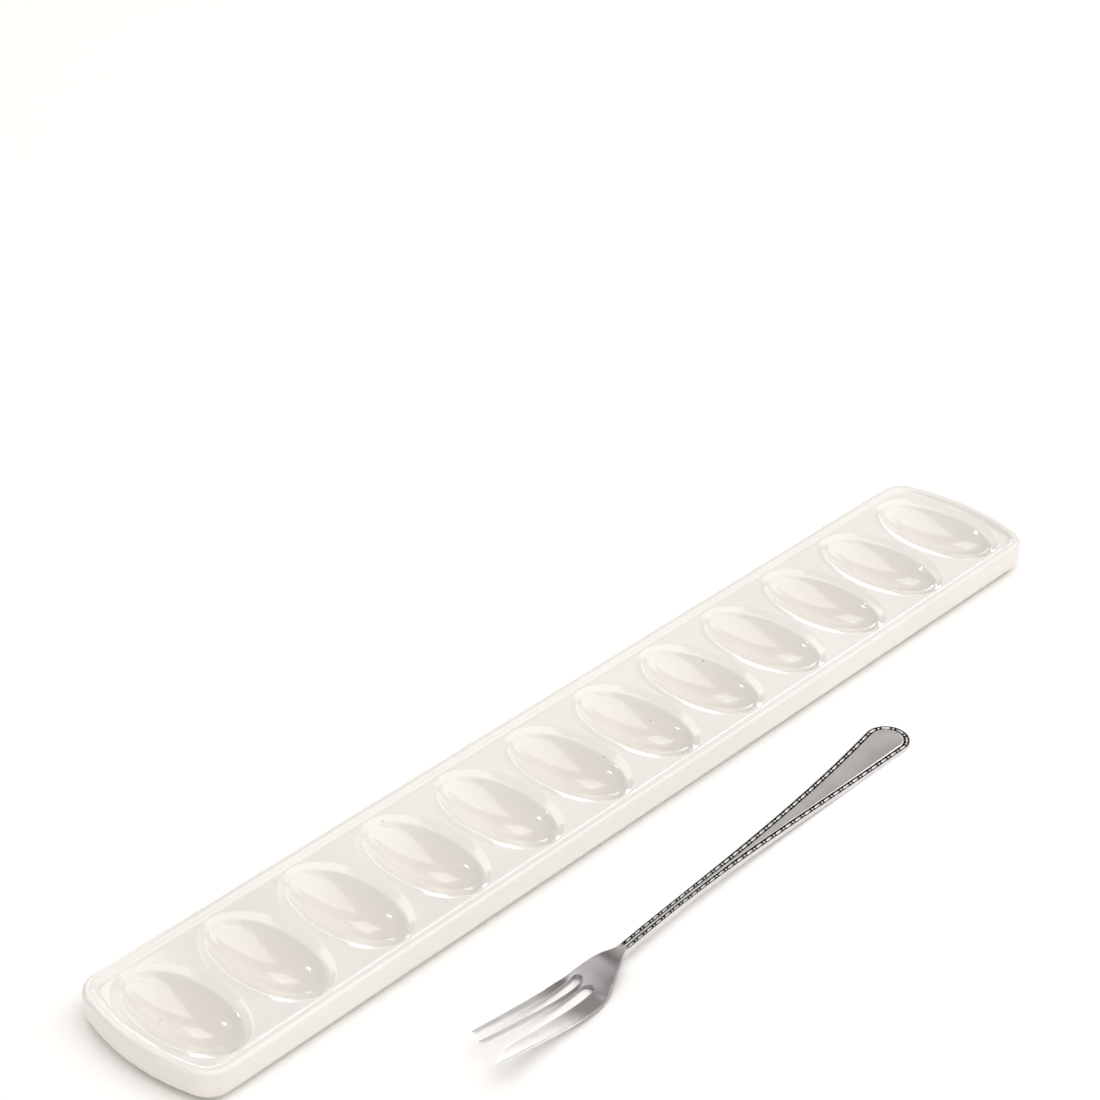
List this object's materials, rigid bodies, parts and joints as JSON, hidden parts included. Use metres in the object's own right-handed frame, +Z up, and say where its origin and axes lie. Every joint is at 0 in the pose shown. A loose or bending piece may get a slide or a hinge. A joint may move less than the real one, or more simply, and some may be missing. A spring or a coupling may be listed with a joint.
{
  "type": "deviled egg platter with serving fork",
  "caption": "Long narrow glazed ceramic platter with one row of oval egg wells inside a low raised rim, with a plated serving fork that has one broad cutting tine.",
  "frame": {"origin": "on the table, under the middle of the box that the platter and the fork fill together", "axes": "+X runs along the platter's row of wells, +Y from the fork to the platter, +Z up"},
  "size_m": [0.502, 0.1426, 0.015],
  "materials": {
    "glaze": "glossy warm-white glaze",
    "plate": "satin silver plate, blackened in the recesses of the handle's border"
  },
  "bodies": {
    "platter": {"platter": "glaze"},
    "fork": {"serving_fork": "plate"}
  },
  "joints": [
    {"name": "fork_lift", "type": "slide", "parent": "platter", "child": "fork", "axis": [0, 0, 1], "range_m": [0, 0.12]}
  ]
}
